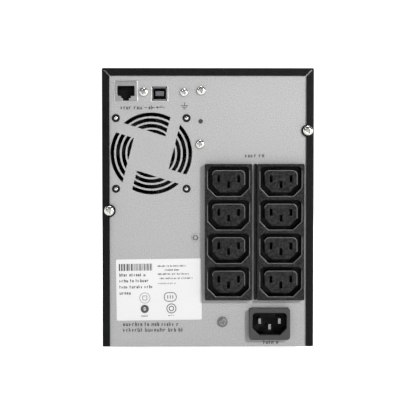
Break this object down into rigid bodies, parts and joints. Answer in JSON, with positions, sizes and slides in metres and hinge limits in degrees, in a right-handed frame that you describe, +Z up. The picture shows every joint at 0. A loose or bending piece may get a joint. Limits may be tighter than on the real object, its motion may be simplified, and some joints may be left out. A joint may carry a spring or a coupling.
{
  "type": "tower ups",
  "caption": "Tower backup power supply: steel case, grey rear panel with fan grille, coupler outlet strips, mains inlet and data ports; pull-out battery drawer behind the front cover.",
  "frame": {"origin": "centre of the overall footprint, on the surface that the feet stand on", "axes": "+Z up; -Y out of the front, where the display is; +Y out of the rear panel with the sockets; +X to the side of the fan"},
  "size_m": [0.154, 0.41, 0.208],
  "materials": {
    "case_black": "fine textured powder coat, semi-matt",
    "panel_grey": "satin grey paint with a fine fleck",
    "inner_steel": "zinc-plated sheet",
    "bright_screw": "bright nickel plate",
    "dull_screw": "dull zinc plate",
    "rivet_grey": "painted over with the panel",
    "outlet_black": "fine spark-eroded texture",
    "inlet_black": "fine spark-eroded texture",
    "brass": "plain",
    "pin_nickel": "nickel plate",
    "tin_shield": "tin plate",
    "jack_plastic": "black moulding",
    "usb_plastic": "dark grey moulding",
    "gold_wire": "gold flash",
    "board_green": "solder mask",
    "fan_black": "glass-filled moulding",
    "insert_black": "nylon",
    "coil_tape": "amber insulating tape",
    "core_steel": "varnished laminations",
    "heat_sink": "extruded",
    "epoxy_black": "moulded package",
    "capacitor_sleeve": "shrink sleeve",
    "relay_case": "moulded case",
    "choke_wire": "enamelled copper",
    "nylon_white": "natural nylon",
    "battery_case": "moulded case",
    "link_red": "insulated link",
    "plug_grey": "moulded connector",
    "pull_black": "moulded handle",
    "bezel_black": "fine textured moulding",
    "window_tint": "tinted clear lens",
    "lcd": "dark display glass",
    "button_grey": "moulded button",
    "power_green": "moulded button",
    "label_white": "satin printed label",
    "foot_rubber": "moulded rubber"
  },
  "bodies": {
    "case": {"chassis_base": "panel_grey", "top_cover": "case_black", "front_frame": "inner_steel", "bay_divider": "inner_steel", "drawer_rails": "nylon_white", "feet": "foot_rubber", "cover_screws": "bright_screw", "panel_screws": "bright_screw", "ground_screw": "bright_screw", "base_screw": "dull_screw", "panel_rivets": "rivet_grey", "rating_label": "label_white", "outlet_strip_1": "outlet_black", "outlet_strip_2": "outlet_black", "outlet_contacts": "brass", "inlet_housing": "inlet_black", "inlet_pins": "pin_nickel", "rj45_shield": "tin_shield", "rj45_insert": "jack_plastic", "rj45_contacts": "gold_wire", "usb_shell": "tin_shield", "usb_insert": "usb_plastic", "comms_board": "board_green", "panel_brackets": "inner_steel", "fan_frame": "fan_black", "fan_stator": "choke_wire", "fan_inserts": "insert_black", "fan_pins": "bright_screw", "transformer_core": "core_steel", "transformer_coil": "coil_tape", "transformer_bracket": "inner_steel", "transformer_bolts": "dull_screw", "main_board": "board_green", "board_standoffs": "brass", "heat_sinks": "heat_sink", "power_transistors": "epoxy_black", "capacitors": "capacitor_sleeve", "relays": "relay_case", "emi_choke": "choke_wire", "filter_board": "board_green", "bay_socket": "plug_grey", "front_bezel": "bezel_black", "bezel_screws": "dull_screw", "display_window": "window_tint", "lcd_module": "lcd", "display_board": "board_green"},
    "fan_rotor": {"fan_rotor": "fan_black"},
    "battery_cover": {"battery_cover": "bezel_black"},
    "battery_drawer": {"drawer_tray": "inner_steel", "drawer_door": "inner_steel", "drawer_screws": "dull_screw", "drawer_pull": "pull_black", "batteries": "battery_case", "battery_terminals": "brass", "battery_links": "link_red", "drawer_plug": "plug_grey"},
    "button_up": {"button_up": "button_grey"},
    "button_down": {"button_down": "button_grey"},
    "button_enter": {"button_enter": "button_grey"},
    "power_button": {"power_button": "power_green"}
  },
  "joints": [
    {"name": "fan_spin", "type": "hinge", "parent": "case", "child": "fan_rotor", "pos_m": [0.0402, 0.186, 0.14565], "axis": [0, 1, 0], "continuous": true},
    {"name": "cover_pull", "type": "slide", "parent": "case", "child": "battery_cover", "axis": [0, -1, 0], "range_m": [0, 0.24]},
    {"name": "drawer_slide", "type": "slide", "parent": "case", "child": "battery_drawer", "axis": [0, -1, 0], "range_m": [0, 0.2]},
    {"name": "button_up_press", "type": "slide", "parent": "case", "child": "button_up", "axis": [0, 1, 0], "range_m": [0, 0.0012], "stiffness_N_per_m": 400, "springref_m": -0.001},
    {"name": "button_down_press", "type": "slide", "parent": "case", "child": "button_down", "axis": [0, 1, 0], "range_m": [0, 0.0012], "stiffness_N_per_m": 400, "springref_m": -0.001},
    {"name": "button_enter_press", "type": "slide", "parent": "case", "child": "button_enter", "axis": [0, 1, 0], "range_m": [0, 0.0012], "stiffness_N_per_m": 400, "springref_m": -0.001},
    {"name": "power_button_press", "type": "slide", "parent": "case", "child": "power_button", "axis": [0, 1, 0], "range_m": [0, 0.0012], "stiffness_N_per_m": 400, "springref_m": -0.001}
  ],
  "couplings": [
    {"joint": "drawer_slide", "follows": "cover_pull", "ratio": 0.8333}
  ]
}
